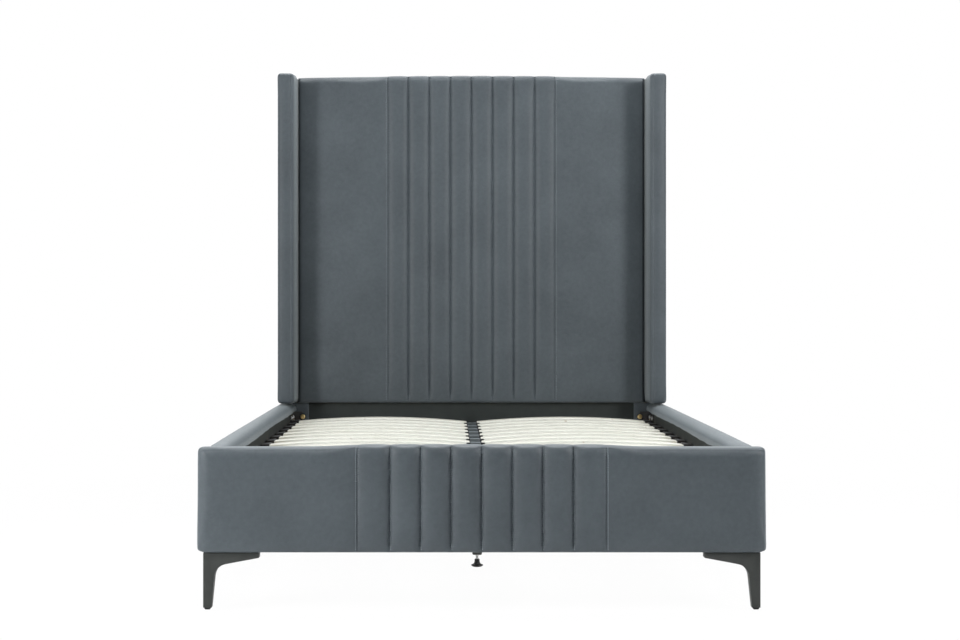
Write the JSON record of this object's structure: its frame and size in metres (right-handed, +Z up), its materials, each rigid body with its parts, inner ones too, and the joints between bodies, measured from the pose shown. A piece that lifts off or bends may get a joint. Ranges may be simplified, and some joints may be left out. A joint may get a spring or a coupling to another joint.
{
  "type": "wingback bed",
  "caption": "Upholstered double bed with a tall fluted wing headboard, fluted footboard, bowed slats on a centre beam and slim corner legs.",
  "frame": {"origin": "on the floor, at the centre of the bed's plan", "axes": "+X to the right as seen from the foot, +Y from the footboard to the headboard, +Z up"},
  "size_m": [1.527, 2.068, 1.713],
  "materials": {
    "velvet": "short-pile slate blue velvet over foam",
    "black_cloth": "thin black non-woven cloth",
    "timber": "sawn softwood and board",
    "slat_wood": "pale lacquered laminated slat",
    "leg_metal": "dark grey-green satin powder coat",
    "black_plastic": "moulded black, fine texture",
    "steel": "bright zinc plate",
    "brass_bolt": "yellow zinc plate"
  },
  "bodies": {
    "bed": {"beam_hangers": "steel", "bracket_bolts": "brass_bolt", "centre_beam": "velvet", "centre_leg_front": "leg_metal", "centre_leg_rear": "leg_metal", "centre_slat_holders": "black_plastic", "foot_bracket_left": "leg_metal", "foot_bracket_right": "leg_metal", "footboard_frame": "timber", "footboard_lining": "black_cloth", "footboard_pad": "velvet", "front_leg_feet": "black_plastic", "front_leg_left": "leg_metal", "front_leg_right": "leg_metal", "glide_nuts": "steel", "head_bracket_left": "leg_metal", "head_bracket_right": "leg_metal", "headboard_back_cloth": "black_cloth", "headboard_face_board": "timber", "headboard_low_rail": "black_cloth", "headboard_pad": "velvet", "headboard_rails": "timber", "headboard_stile_left": "timber", "headboard_stile_right": "timber", "leg_screws": "steel", "post_glides": "black_plastic", "post_sleeves": "velvet", "rail_bolts": "steel", "rail_frame_left": "timber", "rail_frame_right": "timber", "rail_lining_left": "black_cloth", "rail_lining_right": "black_cloth", "rail_pad_left": "velvet", "rail_pad_right": "velvet", "side_slat_holders": "black_plastic", "slat_ledge_left": "timber", "slat_ledge_right": "timber", "slat_row_01": "slat_wood", "slat_row_02": "slat_wood", "slat_row_03": "slat_wood", "slat_row_04": "slat_wood", "slat_row_05": "slat_wood", "slat_row_06": "slat_wood", "slat_row_07": "slat_wood", "slat_row_08": "slat_wood", "slat_row_09": "slat_wood", "slat_row_10": "slat_wood", "slat_row_11": "slat_wood", "slat_row_12": "slat_wood", "slat_row_13": "slat_wood", "wing_bolts": "steel", "wing_frame_left": "timber", "wing_frame_right": "timber", "wing_pad_left": "velvet", "wing_pad_right": "velvet", "wood_screws": "steel"},
    "glide_front": {"glide_rod_front": "steel", "glide_base_front": "black_plastic"},
    "glide_rear": {"glide_rod_rear": "steel", "glide_base_rear": "black_plastic"}
  },
  "joints": [
    {"name": "glide_front_screw", "type": "slide", "parent": "bed", "child": "glide_front", "axis": [0, 0, 1], "range_m": [-0.02, 0.01]},
    {"name": "glide_rear_screw", "type": "slide", "parent": "bed", "child": "glide_rear", "axis": [0, 0, 1], "range_m": [-0.02, 0.01]}
  ]
}
